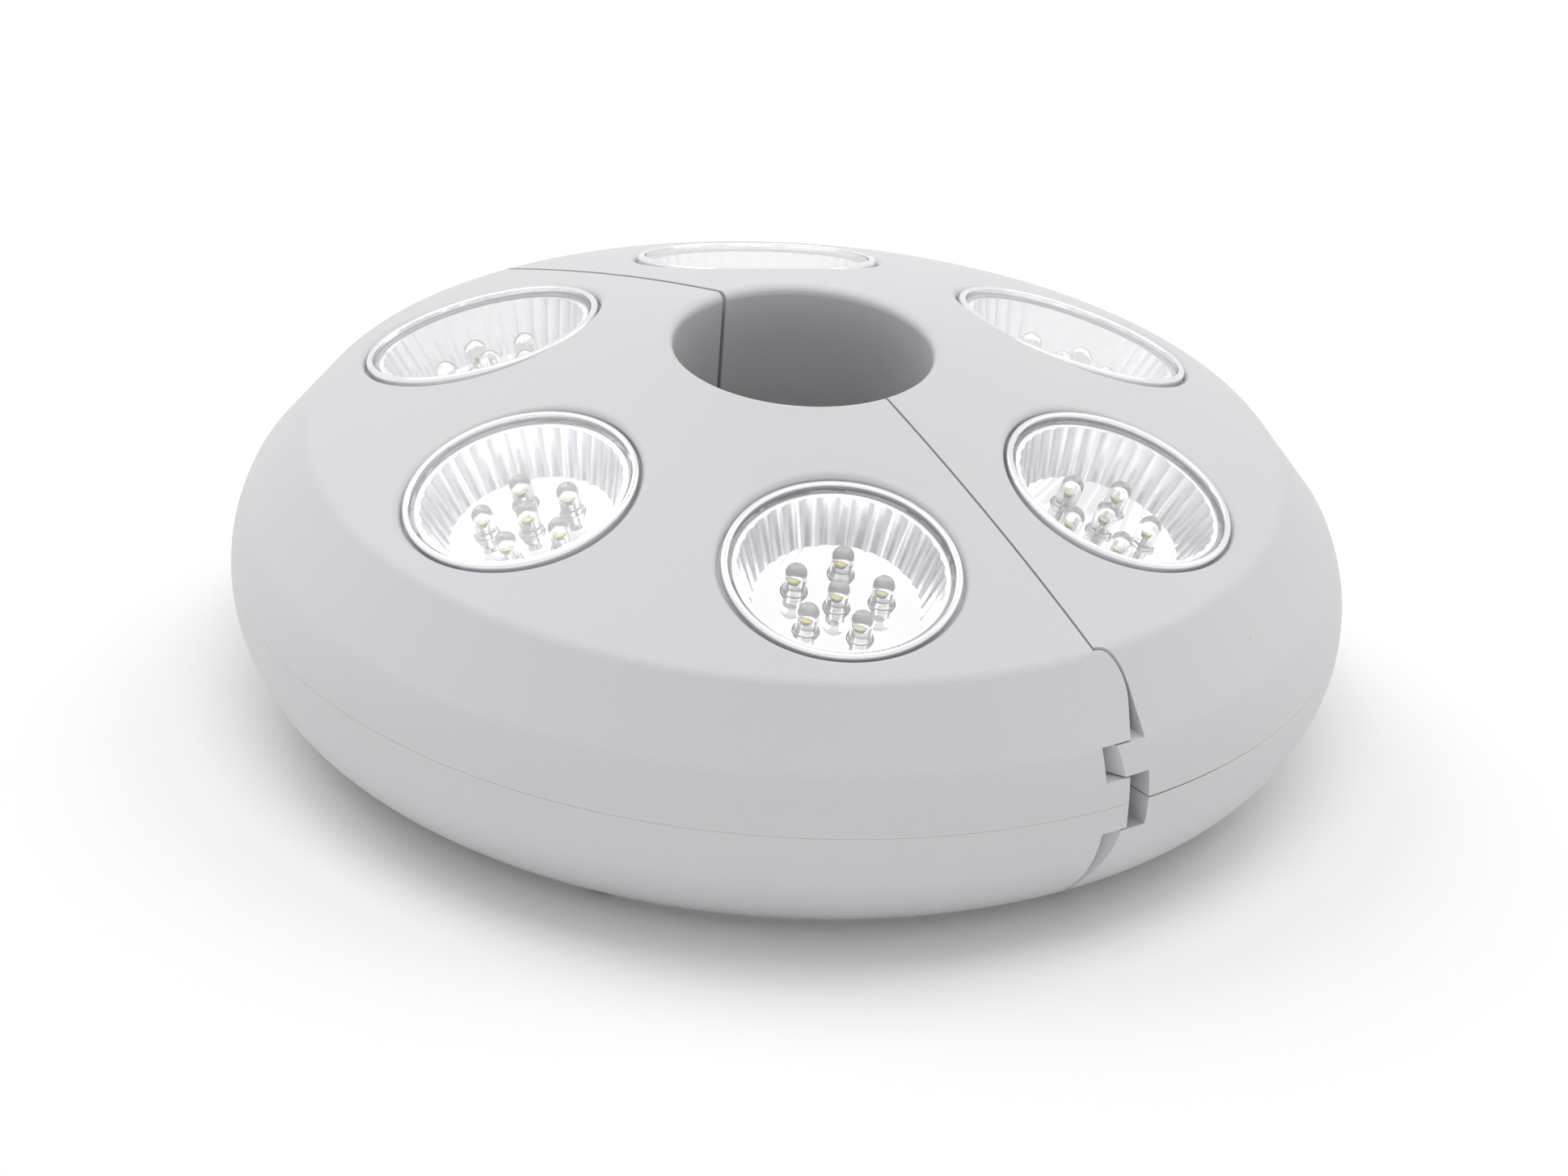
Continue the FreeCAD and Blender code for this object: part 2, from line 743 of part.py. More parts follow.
def leads(side):
    """The arc, and a drop from it: to the driver on the left, to the battery on the right."""
    tray_end = bay_size()[1] / 2 + tray_wall + lead_end_gap
    if side == LEFT:
        board_side = driver_reach - board_thickness / 2 - lead_end_gap
        tap = driver_azimuth - lead_tap_angle
        start = at_azimuth(side * tap, lead_circle + lead_radius, lead_height() - lead_radius)
        end = at_azimuth(side * tap, board_side, driver_high - solder_inset)
        battery_end = Vector(side * cells_from_pole, tray_end, cell_axis_height())
        board_foot = at_azimuth(side * driver_azimuth, board_side, driver_low + solder_inset)
        supply = tube_between(battery_end, board_foot, lead_radius)
        return [lead_arc(side), tube_between(start, end, lead_radius), supply]
    tap = at_azimuth(side * lamp_pitch / 2, lead_circle, lead_height() - lead_radius)
    battery_end = Vector(side * cells_from_pole, -tray_end, cell_axis_height())
    return [lead_arc(side), tube_between(battery_end, tap, lead_radius)]


def seam_lead_ends():
    end = at_azimuth(lead_seam_azimuth, lead_circle, lead_height())
    return Vector(-end.x, end.y, end.z), Vector(end.x - lead_radius / 2, end.y, end.z)


def seam_lead():
    """Lead that crosses the seam near the hinge, from one half's arc to the other's."""
    return tube_between(*seam_lead_ends(), lead_radius)


def lead_hole(side):
    _, end = seam_lead_ends()
    radius = lead_radius + lead_hole_slack if side == LEFT else lead_swing_radius
    base = Vector(0, end.y, end.z)
    return Part.makeCylinder(radius, half_gap / 2 + wall + nip, base, Vector(side, 0, 0))


# Casing halves ------------------------------------------------------------------------------------

def parting_groove():
    return turned([
        (body_radius - groove_size, corner_radius),
        (body_radius + nip, corner_radius - groove_size),
        (body_radius + nip, corner_radius + groove_size),
    ])


def parting_wedge():
    """Gap between the right half's shells at the hinge, which closes away from the seam."""
    corners = [Vector(0, -far, corner_radius - parting_gap / 2), Vector(0, -far, corner_radius + parting_gap / 2),
               Vector(parting_gap_run, -far, corner_radius)]
    face = Part.Face(Part.makePolygon(corners + corners[:1]))
    return face.extrude(Vector(0, far - pin_reach, 0))


def soften_pockets(solid, side):
    """Rounds the dome's edge round each lamp."""
    edges = []
    radius = bezel_outer + bezel_slack
    seat = -(flange_depth + flange_thickness)
    for azimuth in lamp_azimuths(side):
        frame = lamp_placement(azimuth).inverse()
        for edge in solid.Edges:
            points = [frame.multVec(point) for point in edge.discretize(7)]
            on_wall = all(abs(math.hypot(p.x, p.y) - radius) < tolerance for p in points)
            if on_wall and all(p.z > seat + tolerance for p in points):
                edges.append(edge)
    return solid.makeFillet(pocket_round, edges)


def half_block(side, solid, inset):
    """What one half takes of a solid whole, an inset behind its seam face on both sides of the pole."""
    near_hinge = Part.makeBox(4 * far, far, 4 * far, Vector(-2 * far, -far, -2 * far))
    faces = ((half_gap, near_hinge), (latch_gap, near_hinge.translated(Vector(0, far, 0))))
    parts = [solid.common(side_box(side, gap / 2 + inset)).common(room) for gap, room in faces]
    return parts[0].fuse(parts[1])


def half_casing(side, envelope, cavity):
    """One half of the casing, upper and lower shell still in one piece."""
    outside = half_block(side, envelope, 0)
    solid = outside.cut(half_block(side, cavity, wall))
    frames = [lamp_placement(azimuth) for azimuth in lamp_azimuths(side)]
    solid = solid.fuse([placed(pocket_block(), frame).common(outside) for frame in frames])
    solid = solid.cut([placed(pocket_hollow(), frame) for frame in frames])
    solid = soften_pockets(solid, side)
    additions = [screw_posts(side, outside), seam_bosses(side, outside)]
    if side == LEFT:
        additions += [driver_posts(outside), button_guide(outside)]
    solid = solid.fuse(additions)
    removals = [screw_hollow(point) for point in post_points(side)]
    removals += [magnet_hollow(side, height) for height in seam_fitting_heights]
    door_top = door_recess + door_thickness
    removals += [bay_box(side, 0, -nip, wall + nip), bay_box(side, door_lap, -nip, door_top)]
    removals.append(lead_hole(side))
    if side == LEFT:
        removals += [peg_socket(height) for height in seam_fitting_heights] + [button_hole()]
    solid = solid.cut(removals)
    if side == RIGHT:
        solid = solid.fuse([locating_peg(height) for height in seam_fitting_heights])
    solid = with_hinge(solid, side, envelope).cut(parting_groove())
    return solid.cut(parting_wedge()) if side == RIGHT else solid


# Lamp pieces, drawn in the lamp frame --------------------------------------------------------------

def bezel():
    """Bright ring with a crowned face and a sharp step down to the lens."""
    foot = -flange_depth
    outer_top = bezel_outer - bezel_outer_round
    inner_top = bezel_inner + bezel_inner_round
    inner_step = bezel_crown / 2
    return turned([
        (bezel_inner, foot),
        (bezel_outer, foot),
        (bezel_outer, 0),
        quarter((outer_top, 0), (bezel_outer, 0), (outer_top, bezel_crown)),
        (inner_top, bezel_crown),
        quarter((inner_top, inner_step), (inner_top, bezel_crown), (bezel_inner, inner_step)),
    ])


def lens():
    foot = lens_lift - flange_depth
    return local_cylinder(bezel_inner - lens_slack, foot, foot + lens_thickness)


def fluted_wire(height):
    """Scalloped outline of the bowl at one height: ridges point inwards, flutes bulge outwards."""
    radius = bowl_radius(height)
    step = 2 * math.pi / flute_count
    edges = []
    for index in range(flute_count):
        angles = (index * step, (index + 0.5) * step, (index + 1) * step)
        reaches = (radius, radius + flute_depth, radius)
        points = [Vector(r * math.cos(a), r * math.sin(a), height) for a, r in zip(angles, reaches)]
        edges.append(Part.Arc(*points).toShape())
    return Part.Wire(edges)


def led_centres():
    ring = [led_first_angle + 360.0 / led_ring_count * index for index in range(led_ring_count)]
    points = [Vector(math.cos(math.radians(a)), math.sin(math.radians(a)), 0) * led_circle for a in ring]
    return [ORIGIN] + points


def stake_centres():
    return [Vector(hand * stake_circle, 0, 0) for hand in (-1, 1)]


def board_top():
    return -(floor_depth + reflector_wall + skirt_height)


def reflector():
    """Flanged cup with a fluted cone, a flat floor with LED holes, and a skirt for the board."""
    flange_top = -flange_depth
    flange_foot = flange_top - flange_thickness
    cup_foot = -(floor_depth + reflector_wall)
    foot_radius = cup_outer_radius(-floor_depth)
    cup = turned([
        (0, cup_foot),
        (foot_radius, cup_foot),
        (foot_radius, -floor_depth),
        (cup_outer_radius(flange_foot), flange_foot),
        (bezel_outer, flange_foot),
        (bezel_outer, flange_top),
        (0, flange_top),
    ])
    bowl = Part.makeLoft([fluted_wire(flange_top + flange_depth), fluted_wire(-floor_depth)], True, True)
    skirt = local_cylinder(foot_radius, board_top(), cup_foot + nip)
    skirt = skirt.cut(local_cylinder(foot_radius - skirt_wall, board_top() - nip, cup_foot))
    stake_foot = board_top() - board_thickness - stake_end
    stakes = [Part.makeCylinder(stake_radius, cup_foot + nip - stake_foot, point + UP * stake_foot)
              for point in stake_centres()]
    hole_radius = led_flange_radius + led_hole_slack
    depth = floor_depth + reflector_wall + nip
    holes = [Part.makeCylinder(hole_radius, depth - floor_depth / 2, point - UP * depth)
             for point in led_centres()]
    return cup.fuse([skirt] + stakes).cut([bowl] + holes)


def led(centre):
    """Clear 5 mm LED: a domed body on a flange, with two legs down to the board."""
    foot = -(floor_depth + led_sink)
    flange_top = foot + led_flange_height
    tip = foot + led_height
    dome_foot = tip - led_radius
    solid = turned([
        (0, foot),
        (led_flange_radius, foot),
        (led_flange_radius, flange_top),
        (led_radius, flange_top),
        (led_radius, dome_foot),
        quarter((0, dome_foot), (led_radius, dome_foot), (0, tip)),
    ])
    for hand in (-1, 1):
        low = Vector(hand * leg_pitch / 2 - leg_size / 2, -leg_size / 2, board_top())
        solid = solid.fuse(Part.makeBox(leg_size, leg_size, foot + nip - board_top(), low))
    solid.translate(centre)
    return solid


def led_board():
    plate = local_cylinder(led_board_radius, board_top() - board_thickness, board_top())
    hole_radius = stake_radius + stake_slack
    foot = board_top() - board_thickness - nip
    holes = [Part.makeCylinder(hole_radius, board_thickness + 2 * nip, point + UP * foot)
             for point in stake_centres()]
    return plate.cut(holes)


# Pole grips ---------------------------------------------------------------------------------------

def pole_grip(side):
    """Rubber half ring on the bore wall."""
    height = grip_high - grip_low
    sweep = 180 - 2 * grip_end_angle
    outer = Part.makeCylinder(bore_radius, height, UP * grip_low, UP, sweep)
    inner = Part.makeCylinder(pole_radius, height, UP * grip_low, UP, sweep)
    ring = outer.cut(inner)
    start = grip_end_angle - 90 if side == RIGHT else grip_end_angle + 90
    ring.rotate(ORIGIN, UP, start)
    return ring


# Build --------------------------------------------------------------------------------------------

def save(node, *solids):
    shape = solids[0] if len(solids) == 1 else Part.makeCompound(list(solids))
    assert shape.isValid(), node
    shape.exportStep(os.path.join("parts", node + ".step"))


def single(shape):
    """The one solid that a boolean result holds."""
    assert len(shape.Solids) == 1, len(shape.Solids)
    return shape.Solids[0]


def build_casing():
    envelope = casing_envelope()
    cavity = cavity_profile().revolve(ORIGIN, UP, 360)
    for side, name in ((LEFT, "left"), (RIGHT, "right")):
        half = half_casing(side, envelope, cavity)
        save(name + "_upper_shell", single(half.common(layer(corner_radius, far))))
        save(name + "_lower_shell", single(half.common(layer(-far, corner_radius))))
    save("hinge_pin", hinge_pin())


def build_lamps():
    makers = (("bezel", bezel), ("lens", lens), ("reflector", reflector), ("led_board", led_board))
    pieces = {name: single(make()) for name, make in makers}
    leds = [single(led(centre)) for centre in led_centres()]
    azimuths = lamp_azimuths(LEFT) + lamp_azimuths(RIGHT)[::-1]
    for number, azimuth in enumerate(azimuths, start=1):
        frame = lamp_placement(azimuth)
        for name, piece in pieces.items():
            save("%s_%d" % (name, number), placed(piece, frame))
        save("leds_%d" % number, *[placed(solid, frame) for solid in leds])


def build_power():
    for side, name in ((LEFT, "left"), (RIGHT, "right")):
        save("battery_tray_" + name, battery_tray(side))
        save("battery_door_" + name, single(battery_door(side)))
        save("battery_cells_" + name, *[battery_cell(side, index) for index in (0, 1)])
        save("battery_contacts_" + name, *battery_contacts(side))
        save("leads_" + name, *leads(side))
    save("seam_lead", seam_lead())
    save("driver_board", driver_board())
    save("driver_components", *driver_components())
    save("push_switch", single(push_switch()))
    save("switch_plunger", switch_plunger())
    save("power_button", single(power_button()))


def build_fittings():
    for side, name in ((LEFT, "left"), (RIGHT, "right")):
        save("case_screws_" + name, *[screw(point) for point in post_points(side)])
        save("magnets_" + name, *[magnet(side, height) for height in seam_fitting_heights])
        save("pole_grip_" + name, pole_grip(side))


os.makedirs("parts", exist_ok=True)
build_casing()
build_lamps()
build_power()
build_fittings()
print("parts:", len(os.listdir("parts")))
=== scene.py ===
# %% [markdown]
# # A cordless light that closes round a parasol pole
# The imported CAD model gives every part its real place. This lesson dresses it: each CAD node keeps
# its mesh and gets the finish of its real material, and the small things that CAD left plain, such
# as the insides of the LEDs, are modelled here. A few nodes (rubber grips, battery cells, contacts
# and the lead at the hinge) give way to finer pieces of the same size.
# Lengths are written in millimetres times MM, so that they read like the CAD's own sizes; only those
# of the room round the light are in plain metres.

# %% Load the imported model
import math

import bmesh
import bpy
from mathutils import Matrix, Vector


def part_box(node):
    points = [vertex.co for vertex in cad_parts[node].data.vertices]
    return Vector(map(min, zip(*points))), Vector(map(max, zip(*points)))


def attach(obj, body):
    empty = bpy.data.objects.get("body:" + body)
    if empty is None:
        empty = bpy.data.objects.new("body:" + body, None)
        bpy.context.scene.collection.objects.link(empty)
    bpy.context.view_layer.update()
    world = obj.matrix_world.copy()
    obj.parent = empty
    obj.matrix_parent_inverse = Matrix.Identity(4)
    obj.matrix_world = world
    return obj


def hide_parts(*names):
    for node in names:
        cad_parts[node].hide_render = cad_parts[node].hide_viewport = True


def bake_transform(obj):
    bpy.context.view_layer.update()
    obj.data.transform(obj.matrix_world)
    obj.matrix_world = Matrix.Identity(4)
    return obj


MM = 0.001

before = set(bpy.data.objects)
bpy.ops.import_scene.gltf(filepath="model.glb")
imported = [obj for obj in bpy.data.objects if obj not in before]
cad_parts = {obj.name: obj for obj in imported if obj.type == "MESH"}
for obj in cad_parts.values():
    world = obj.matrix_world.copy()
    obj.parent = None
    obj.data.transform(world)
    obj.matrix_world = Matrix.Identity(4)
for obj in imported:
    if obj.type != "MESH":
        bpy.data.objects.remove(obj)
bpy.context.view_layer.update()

# %% [markdown]
# ## The camera
# The light is seen from a little above, over the seam where its hinge is. A long lens from over four
# metres keeps the circle of the rim almost a true ellipse.

# %% Place the camera
AZIMUTH = math.radians(-38.88)
ELEVATION = math.radians(26.9)
DISTANCE = 4.592
LENS = 469.07
ROLL = math.radians(4.04)
FARTHEST = 100              # metres that the camera still draws
ACROSS = Vector((math.cos(AZIMUTH), math.sin(AZIMUTH), 0))      # to the right in the view
TARGET = Vector((0, 0, 30.8 * MM)) - 0.5 * MM * ACROSS

back = Vector((math.sin(AZIMUTH) * math.cos(ELEVATION),
               -math.cos(AZIMUTH) * math.cos(ELEVATION),
               math.sin(ELEVATION)))
camera = bpy.data.objects.new("camera", bpy.data.cameras.new("camera"))
bpy.context.scene.collection.objects.link(camera)
camera.data.lens = LENS
camera.data.clip_end = FARTHEST
camera.location = TARGET + back * DISTANCE
camera.rotation_mode = "QUATERNION"
aim = (-back).to_track_quat("-Z", "Y")
camera.rotation_quaternion = aim @ Matrix.Rotation(ROLL, 3, "Z").to_quaternion()
bpy.context.scene.camera = camera
print("camera at", [round(x, 3) for x in camera.location])

# %% [markdown]
# ## Materials: one function for colours, one for nodes
# A hex colour is what the eye reads on a screen, and the shader wants linear light, so one function
# turns the first into the second. A second one adds any node, sets its values and makes its links:
# a value that is a node is linked from its first output, a pair of a node and a name from that
# output, and anything else is set.

# %% Helpers for materials
def linear(hex_colour):
    """The linear RGBA of an sRGB hex colour."""
    values = [int(hex_colour[i:i + 2], 16) / 255 for i in (1, 3, 5)]
    return [v / 12.92 if v <= 0.04045 else ((v + 0.055) / 1.055) ** 2.4 for v in values] + [1.0]


def in_use(sockets, name):
    """The socket with a name or number, among those that the node shows."""
    shown = [socket for socket in sockets if socket.enabled]
    return shown[name] if isinstance(name, int) else next(s for s in shown if s.name == name)


def add_node(tree, kind, inputs=(), **settings):
    """Adds a node of a kind with its settings, and sets or links its inputs."""
    made = tree.nodes.new("ShaderNode" + kind)
    for name, value in settings.items():
        setattr(made, name, value)
    for name, value in dict(inputs).items():
        if isinstance(value, bpy.types.Node):
            value = (value, 0)
        if isinstance(value, tuple):
            tree.links.new(in_use(value[0].outputs, value[1]), in_use(made.inputs, name))
        else:
            in_use(made.inputs, name).default_value = value
    return made


def new_material(name):
    """An empty material and its tree."""
    material = bpy.data.materials.new(name)
    material.use_nodes = True
    material.node_tree.nodes.clear()
    return material, material.node_tree


def set_surface(tree, shader):
    """Makes a shader the surface of its material."""
    add_node(tree, "OutputMaterial", {"Surface": shader})


print("half of full brightness on a screen is", round(linear("#808080")[0], 3), "of the light")

# %% [markdown]
# ## Light and floor
# A white room gives the metal something to mirror. Rays from matt surfaces see most of it half as
# bright as the camera does, so that a colour renders about as it is written. Its walls are brighter
# low down, as in a studio whose white cove is lit: that light reaches the bands and the floor, and
# leaves the deep bore dark. Below the horizon it is also bright, which lights the flat underside.

# %% Light the room
ROOM_LIGHT = 0.47
COVE_LIGHT = 2.0            # of the walls at the horizon
COVE_TOP = 0.26             # sine of the height at which that has faded
UNDER_LIGHT = 0.85

world = bpy.data.worlds.new("white_room")
bpy.context.scene.world = world
world.use_nodes = True
tree = world.node_tree
tree.nodes.clear()
path = add_node(tree, "LightPath")
direction = add_node(tree, "SeparateXYZ", {"Vector": (add_node(tree, "TexCoord"), "Generated")})
below = add_node(tree, "Math", {0: (direction, "Z"), 1: 0.0}, operation="LESS_THAN")
cove = add_node(tree, "MapRange", {"Value": (direction, "Z"), "From Max": COVE_TOP,
                                   "To Min": COVE_LIGHT, "To Max": ROOM_LIGHT})
matt = add_node(tree, "Mix", {"Factor": below, "A": cove, "B": UNDER_LIGHT})
seen = add_node(tree, "Math", {0: (path, "Is Camera Ray"), 1: (path, "Is Glossy Ray")},
                operation="MAXIMUM")
seen = add_node(tree, "Math", {0: seen, 1: (path, "Is Transmission Ray")}, operation="MAXIMUM")
strength = add_node(tree, "Mix", {"Factor": seen, "A": matt, "B": 1.0})
sky = add_node(tree, "Background", {"Color": linear("#FFFFFF"), "Strength": strength})
add_node(tree, "OutputWorld", {"Surface": sky})
bpy.context.scene.view_settings.view_transform = "Standard"
print("the room has", len(tree.nodes), "nodes")

# %% [markdown]
# Three wide soft lamps, one overhead and two behind the light, give the casing its form: the top is
# brightest, each band below it a step darker, and the shadow falls forward and has soft edges.

# %% Hang the lamps
LAMP_RADIUS = 1.0
BEHIND = Vector((-math.sin(AZIMUTH), math.cos(AZIMUTH), 0))    # away from the camera
BACK_LAMPS = Vector((0, 0, 2.2)) + 1.2 * BEHIND                # between the two of them
BACK_SPREAD = 1.6 * ACROSS
SOFT_LAMPS = (                                                 # name, place and watts
    ("overhead", Vector((0, 0, 3.0)), 22.0),
    ("back_left", BACK_LAMPS - BACK_SPREAD, 22.0),
    ("back_right", BACK_LAMPS + BACK_SPREAD, 18.0),
)

for name, place, watts in SOFT_LAMPS:
    light = bpy.data.lights.new(name, "AREA")
    light.shape = "DISK"
    light.size = 2 * LAMP_RADIUS
    light.energy = watts
    lamp = bpy.data.objects.new(name, light)
    bpy.context.scene.collection.objects.link(lamp)
    lamp.location = place
    lamp.rotation_euler = place.to_track_quat("Z", "Y").to_euler()
    lamp.visible_camera = False
    print(name, watts, "W")

# %% [markdown]
# The floor is white painted board. Seen from below it is clear, so that the underside shows. It is
# also clear to rays of about a millimetre and less, so that the face that rests on it is lit too,
# while the shadow stays dark where the casing curves up from the board. Far out it fades into the
# room, and no horizon shows.

# %% Lay the floor
FLOOR_RADIUS = 0.8
FLOOR_FADE = 0.3                    # from here the board fades
FLOOR_GONE = FLOOR_RADIUS * 0.9     # and here it has gone
FLOOR_DROP = 0.2 * MM
SHORT_RAY = 1.2 * MM

material, tree = new_material("painted_white_board")
path = add_node(tree, "LightPath")
geometry = add_node(tree, "NewGeometry")
place = add_node(tree, "TexCoord")
tone = add_node(tree, "Mix", {"Factor": (path, "Is Camera Ray"), "A": linear("#F7F7F7"),
                              "B": linear("#FFFFFF")}, data_type="RGBA")
paint = add_node(tree, "BsdfDiffuse", {"Color": tone})
reach = add_node(tree, "VectorMath", {0: (place, "Object")}, operation="LENGTH")
faded = add_node(tree, "MapRange", {"Value": reach, "From Min": FLOOR_FADE,
                                    "From Max": FLOOR_GONE})
near = add_node(tree, "Math", {0: (path, "Ray Length"), 1: SHORT_RAY}, operation="LESS_THAN")
open_share = add_node(tree, "Math", {0: near, 1: (geometry, "Backfacing")}, operation="MAXIMUM")
open_share = add_node(tree, "Math", {0: open_share, 1: faded}, operation="MAXIMUM")
clear = add_node(tree, "BsdfTransparent")
set_surface(tree, add_node(tree, "MixShader", {0: open_share, 1: paint, 2: clear}))

bm = bmesh.new()
bmesh.ops.create_circle(bm, cap_ends=True, radius=FLOOR_RADIUS, segments=64,
                        matrix=Matrix.Translation((0, 0, -FLOOR_DROP)))
mesh = bpy.data.meshes.new("floor")
bm.to_mesh(mesh)
bm.free()
mesh.materials.append(material)
floor = bpy.data.objects.new("floor", mesh)
bpy.context.scene.collection.objects.link(floor)
print("floor normal", mesh.polygons[0].normal[:])

# %% [markdown]
# ## Casing: moulded ABS
# The four shells, the battery doors and the button are moulded in light grey ABS. The mould was
# spark eroded, which leaves a fine matt grain: it is drawn as a bump of 0.4 mm, coarser than the real
# one so that it shows at all, together with a slight unevenness of the gloss. Under that lies a slow
# drift of the colour over some centimetres, as pigment has, and a few dark specks of dust.
# Textures lie on Object coordinates, where one unit is a metre, so a scale is one over a size.

# %% ABS
GRAIN = 0.4 * MM
GRAIN_DEPTH = 0.02 * MM
DRIFT = 45 * MM
SPECK_SPACING = 25 * MM
SPECK_SIZE = 0.18 * MM
SPECK_STRENGTH = 0.35
HALVES = {"left": -1, "right": 1}       # the two halves, and their sides of the pole along X


def scale_for(size):
    """Scale of a noise or Voronoi texture whose features are of a size, on Object coordinates."""
    return 1 / size


def dress(material, *nodes):
    """Gives CAD nodes a material."""
    for name in nodes:
        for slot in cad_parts[name].material_slots:
            slot.material = material
    print(material.name, "on", len(nodes), "nodes")


def moulded_abs(name, colour, shade, roughness):
    """ABS with a spark-eroded grain, in a colour that drifts to a shade of it."""
    material, tree = new_material(name)
    place = (add_node(tree, "TexCoord"), "Object")
    drift = add_node(tree, "TexNoise", {"Vector": place, "Scale": scale_for(DRIFT), "Detail": 2.0})
    grain = add_node(tree, "TexNoise", {"Vector": place, "Scale": scale_for(GRAIN), "Detail": 3.0})
    tone = add_node(tree, "Mix", {"Factor": drift, "A": linear(colour), "B": linear(shade)},
                    data_type="RGBA")
    specks = add_node(tree, "TexVoronoi", {"Vector": place, "Scale": scale_for(SPECK_SPACING)})
    spot = add_node(tree, "MapRange", {"Value": specks,
                                       "From Min": SPECK_SIZE / SPECK_SPACING,
                                       "From Max": 2 * SPECK_SIZE / SPECK_SPACING,
                                       "To Min": SPECK_STRENGTH, "To Max": 0.0})
    tone = add_node(tree, "Mix", {"Factor": spot, "A": tone, "B": linear("#5A564F")},
                    data_type="RGBA")
    gloss = add_node(tree, "MapRange", {"Value": grain, "To Min": roughness[0],
                                        "To Max": roughness[1]})
    bump = add_node(tree, "Bump", {"Height": grain, "Distance": GRAIN_DEPTH, "Strength": 1.0})
    surface = add_node(tree, "BsdfPrincipled", {"Base Color": tone, "IOR": 1.53,
                                                "Roughness": gloss, "Normal": bump})
    set_surface(tree, surface)
    return material


casing_abs = moulded_abs("light_grey_abs", "#D2D1D4", "#CFCED1", (0.44, 0.56))
dress(casing_abs, *[half + level for half in HALVES for level in ("_upper_shell", "_lower_shell")],
      "battery_door_left", "battery_door_right")
button_abs = moulded_abs("mid_grey_abs", "#B9B8BD", "#B5B4B9", (0.36, 0.46))
dress(button_abs, "power_button")

# %% [markdown]
# ## Bezels: chrome on ABS
# The rings round the lamps are moulded and then plated. Plating copies the gloss of the mould, so
# the metal is bright and almost smooth, with the faint ripple that a plated plastic has.

# %% Chrome
RIPPLE = 3 * MM
RIPPLE_DEPTH = 0.02 * MM
LAMPS = range(1, 7)

material, tree = new_material("chrome_plated_abs")
place = (add_node(tree, "TexCoord"), "Object")
ripple = add_node(tree, "TexNoise", {"Vector": place, "Scale": scale_for(RIPPLE), "Detail": 2.0})
gloss = add_node(tree, "MapRange", {"Value": ripple, "To Min": 0.10, "To Max": 0.18})
bump = add_node(tree, "Bump", {"Height": ripple, "Distance": RIPPLE_DEPTH, "Strength": 0.5})
tone = add_node(tree, "Mix", {"Factor": ripple, "A": linear("#EDEEF1"), "B": linear("#E6E7EA")},
                data_type="RGBA")
surface = add_node(tree, "BsdfPrincipled", {"Base Color": tone, "Metallic": 1.0,
                                            "Roughness": gloss, "Normal": bump})
set_surface(tree, surface)
dress(material, *["bezel_%d" % n for n in LAMPS])

# %% [markdown]
# ## Reflectors: aluminium on polycarbonate
# The fluted cups are coated with aluminium in a vacuum. Faces whose normal points up, such as the
# flange and the floor, are painted white and made smoother, and the steep flutes greyer and rougher:
# painted light from above, keyed to the world's upward direction. A slight orange peel comes from
# the mould.

# %% Vacuum aluminium
PEEL = 2.5 * MM
PEEL_DEPTH = 0.01 * MM
STEEP = 0.70                # upward part of the normal below which a face keeps the greyer tone
FACING_UP = 0.90               # and above which it is painted white, as painted light from above

material, tree = new_material("vacuum_aluminium")
coordinates = add_node(tree, "TexCoord")
normal = add_node(tree, "SeparateXYZ", {"Vector": (coordinates, "Normal")})
# Painted light: faces whose normal points up are painted whiter, as if lit from above.
upward_light_and_gloss = add_node(tree, "MapRange", {"Value": (normal, "Z"), "From Min": STEEP, "From Max": FACING_UP})
peel = add_node(tree, "TexNoise", {"Vector": (coordinates, "Object"), "Scale": scale_for(PEEL),
                                   "Detail": 2.0})
steep_shaded_tone = add_node(tree, "Mix", {"Factor": peel, "A": linear("#F3F3F6"), "B": linear("#EAEAED")},
                data_type="RGBA")
tone = add_node(tree, "Mix", {"Factor": upward_light_and_gloss, "A": steep_shaded_tone, "B": linear("#FFFFFF")},
                data_type="RGBA")
gloss = add_node(tree, "MapRange", {"Value": upward_light_and_gloss, "To Min": 0.24, "To Max": 0.04})
bump = add_node(tree, "Bump", {"Height": peel, "Distance": PEEL_DEPTH, "Strength": 0.4})
surface = add_node(tree, "BsdfPrincipled", {"Base Color": tone, "Metallic": 1.0,
                                            "Roughness": gloss, "Normal": bump})
set_surface(tree, surface)
dress(material, *["reflector_%d" % n for n in LAMPS])

# %% [markdown]
# ## Lamp covers: clear acrylic
# Each lamp lies behind a thin flat disc of clear acrylic. A flat sheet hardly bends light, so it is
# drawn as clear with a gloss that grows towards grazing angles, by Fresnel, on its outer faces only.
# The far lamps, which one looks at along the disc, turn milky with it. Light passes straight through
# to the reflector, where a true glass shader would leave the cup in a noisy shadow.

# %% Clear acrylic
ACRYLIC_IOR = 1.49
ACRYLIC_ROUGHNESS = 0.03

material, tree = new_material("clear_acrylic")
geometry = add_node(tree, "NewGeometry")
outside = add_node(tree, "Math", {0: 1.0, 1: (geometry, "Backfacing")}, operation="SUBTRACT")
fresnel = add_node(tree, "Fresnel", {"IOR": ACRYLIC_IOR})
mirrored = add_node(tree, "Math", {0: fresnel, 1: outside}, operation="MULTIPLY")
clear = add_node(tree, "BsdfTransparent", {"Color": linear("#FFFFFF")})
gloss = add_node(tree, "BsdfGlossy", {"Color": linear("#FFFFFF"), "Roughness": ACRYLIC_ROUGHNESS},
                 distribution="GGX")
set_surface(tree, add_node(tree, "MixShader", {0: mirrored, 1: clear, 2: gloss}))
dress(material, *["lens_%d" % n for n in LAMPS])

# %% [markdown]
# ## LEDs: water-clear epoxy
# The LED bodies are cast in epoxy. They are short and thick, and what gives them away is how the dome
# bends what lies behind it, so this material does refract. Cast epoxy is never quite free of haze,
# so a share of its light is scattered instead, which keeps the domes a soft grey.

